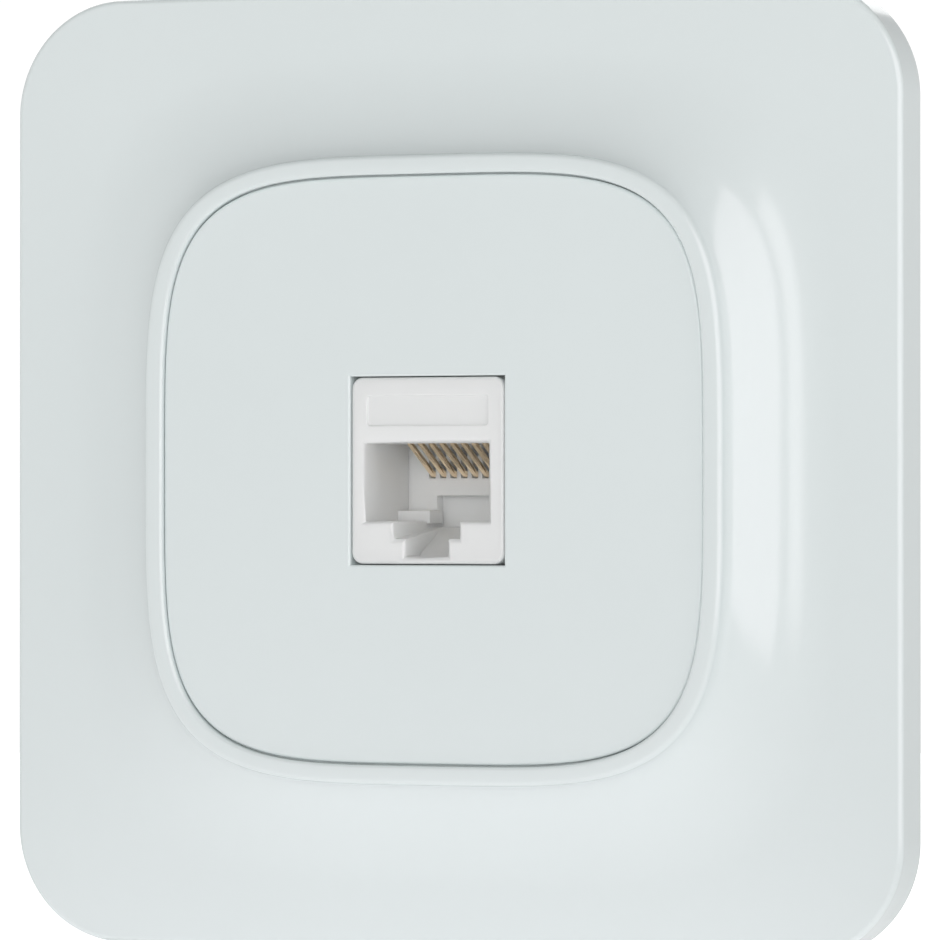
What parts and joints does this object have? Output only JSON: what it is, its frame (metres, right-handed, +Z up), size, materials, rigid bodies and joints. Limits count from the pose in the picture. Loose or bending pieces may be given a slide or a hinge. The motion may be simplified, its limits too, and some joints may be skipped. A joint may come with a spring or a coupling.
{
  "type": "flush wall network outlet",
  "caption": "Square flush wall outlet: coved cover frame, rounded centre plate and a network jack on a steel support ring with spreading claws.",
  "frame": {"origin": "centre of the outlet on the wall plane, where the support ring's back lies on the wall", "axes": "+Y into the wall, so the front faces -Y; +Z up, with the jack's contacts at the top of its cavity; +X to the right seen from the room"},
  "size_m": [0.084, 0.0305, 0.084],
  "materials": {
    "frame_plastic": "glossy injection-moulded cool white",
    "plate_plastic": "satin injection-moulded cool white",
    "carrier_plastic": "fine matt moulded white",
    "jack_plastic": "satin moulded neutral white",
    "zinc_steel": "zinc-plated steel",
    "gold_plating": "gold flash over phosphor bronze",
    "tinned_bronze": "tin-plated phosphor bronze",
    "board_laminate": "green solder-resist laminate"
  },
  "bodies": {
    "mechanism": {"support_ring": "zinc_steel", "jack_carrier": "carrier_plastic", "claw_pin_left": "zinc_steel", "claw_pin_right": "zinc_steel"},
    "cover": {"cover_frame": "frame_plastic"},
    "plate": {"centre_plate": "plate_plastic"},
    "claw_left": {"claw_left": "zinc_steel"},
    "claw_right": {"claw_right": "zinc_steel"},
    "screw_left": {"claw_screw_left": "zinc_steel"},
    "screw_right": {"claw_screw_right": "zinc_steel"},
    "nut_left": {"claw_nut_left": "zinc_steel"},
    "nut_right": {"claw_nut_right": "zinc_steel"},
    "jack": {"jack_housing": "jack_plastic", "contact_sled": "jack_plastic", "jack_board": "board_laminate", "idc_block": "jack_plastic", "idc_terminal_1": "tinned_bronze", "idc_terminal_2": "tinned_bronze", "idc_terminal_3": "tinned_bronze", "idc_terminal_4": "tinned_bronze", "idc_terminal_5": "tinned_bronze", "idc_terminal_6": "tinned_bronze", "idc_terminal_7": "tinned_bronze", "idc_terminal_8": "tinned_bronze"},
    "latch": {"jack_latch": "jack_plastic"},
    "cap": {"dust_cap": "jack_plastic"},
    "contact_1": {"contact_1": "gold_plating"},
    "contact_2": {"contact_2": "gold_plating"},
    "contact_3": {"contact_3": "gold_plating"},
    "contact_4": {"contact_4": "gold_plating"},
    "contact_5": {"contact_5": "gold_plating"},
    "contact_6": {"contact_6": "gold_plating"},
    "contact_7": {"contact_7": "gold_plating"},
    "contact_8": {"contact_8": "gold_plating"}
  },
  "joints": [
    {"name": "plate_pull", "type": "slide", "parent": "mechanism", "child": "plate", "axis": [0, -1, 0], "range_m": [0, 0.022]},
    {"name": "cover_pull", "type": "slide", "parent": "mechanism", "child": "cover", "axis": [0, -1, 0], "range_m": [0, 0.014]},
    {"name": "screw_left_turn", "type": "hinge", "parent": "mechanism", "child": "screw_left", "pos_m": [-0.0224, 0, 0], "axis": [0, 1, 0], "range_deg": [0, 720]},
    {"name": "claw_left_swing", "type": "hinge", "parent": "mechanism", "child": "claw_left", "pos_m": [-0.0186, 0.004, 0], "axis": [0, 0, 1], "range_deg": [0, 25]},
    {"name": "nut_left_travel", "type": "slide", "parent": "mechanism", "child": "nut_left", "axis": [0, -1, 0], "range_m": [0, 0.001]},
    {"name": "screw_right_turn", "type": "hinge", "parent": "mechanism", "child": "screw_right", "pos_m": [0.0224, 0, 0], "axis": [0, 1, 0], "range_deg": [0, 720]},
    {"name": "claw_right_swing", "type": "hinge", "parent": "mechanism", "child": "claw_right", "pos_m": [0.0186, 0.004, 0], "axis": [0, 0, -1], "range_deg": [0, 25]},
    {"name": "nut_right_travel", "type": "slide", "parent": "mechanism", "child": "nut_right", "axis": [0, -1, 0], "range_m": [0, 0.001]},
    {"name": "jack_release", "type": "slide", "parent": "mechanism", "child": "jack", "axis": [0, 1, 0], "range_m": [0, 0.016]},
    {"name": "latch_flex", "type": "hinge", "parent": "jack", "child": "latch", "pos_m": [0, 0.006, 0.0093], "axis": [1, 0, 0], "range_deg": [0, 5], "stiffness_Nm_per_rad": 0.05},
    {"name": "contact_1_flex", "type": "hinge", "parent": "jack", "child": "contact_1", "pos_m": [-0.00357, -0.0037, 0.003], "axis": [1, 0, 0], "range_deg": [0, 12], "stiffness_Nm_per_rad": 0.002},
    {"name": "contact_2_flex", "type": "hinge", "parent": "jack", "child": "contact_2", "pos_m": [-0.00255, -0.0037, 0.003], "axis": [1, 0, 0], "range_deg": [0, 12], "stiffness_Nm_per_rad": 0.002},
    {"name": "contact_3_flex", "type": "hinge", "parent": "jack", "child": "contact_3", "pos_m": [-0.00153, -0.0037, 0.003], "axis": [1, 0, 0], "range_deg": [0, 12], "stiffness_Nm_per_rad": 0.002},
    {"name": "contact_4_flex", "type": "hinge", "parent": "jack", "child": "contact_4", "pos_m": [-0.00051, -0.0037, 0.003], "axis": [1, 0, 0], "range_deg": [0, 12], "stiffness_Nm_per_rad": 0.002},
    {"name": "contact_5_flex", "type": "hinge", "parent": "jack", "child": "contact_5", "pos_m": [0.00051, -0.0037, 0.003], "axis": [1, 0, 0], "range_deg": [0, 12], "stiffness_Nm_per_rad": 0.002},
    {"name": "contact_6_flex", "type": "hinge", "parent": "jack", "child": "contact_6", "pos_m": [0.00153, -0.0037, 0.003], "axis": [1, 0, 0], "range_deg": [0, 12], "stiffness_Nm_per_rad": 0.002},
    {"name": "contact_7_flex", "type": "hinge", "parent": "jack", "child": "contact_7", "pos_m": [0.00255, -0.0037, 0.003], "axis": [1, 0, 0], "range_deg": [0, 12], "stiffness_Nm_per_rad": 0.002},
    {"name": "contact_8_flex", "type": "hinge", "parent": "jack", "child": "contact_8", "pos_m": [0.00357, -0.0037, 0.003], "axis": [1, 0, 0], "range_deg": [0, 12], "stiffness_Nm_per_rad": 0.002},
    {"name": "cap_pull", "type": "slide", "parent": "jack", "child": "cap", "axis": [0, 1, 0], "range_m": [0, 0.012]}
  ],
  "couplings": [
    {"joint": "screw_left_turn", "follows": "nut_left_travel", "rad_per_m": 12566},
    {"joint": "claw_left_swing", "follows": "nut_left_travel", "rad_per_m": 436.33},
    {"joint": "screw_right_turn", "follows": "nut_right_travel", "rad_per_m": 12566},
    {"joint": "claw_right_swing", "follows": "nut_right_travel", "rad_per_m": 436.33},
    {"joint": "contact_2_flex", "follows": "contact_1_flex", "ratio": 1},
    {"joint": "contact_3_flex", "follows": "contact_1_flex", "ratio": 1},
    {"joint": "contact_4_flex", "follows": "contact_1_flex", "ratio": 1},
    {"joint": "contact_5_flex", "follows": "contact_1_flex", "ratio": 1},
    {"joint": "contact_6_flex", "follows": "contact_1_flex", "ratio": 1},
    {"joint": "contact_7_flex", "follows": "contact_1_flex", "ratio": 1},
    {"joint": "contact_8_flex", "follows": "contact_1_flex", "ratio": 1}
  ]
}
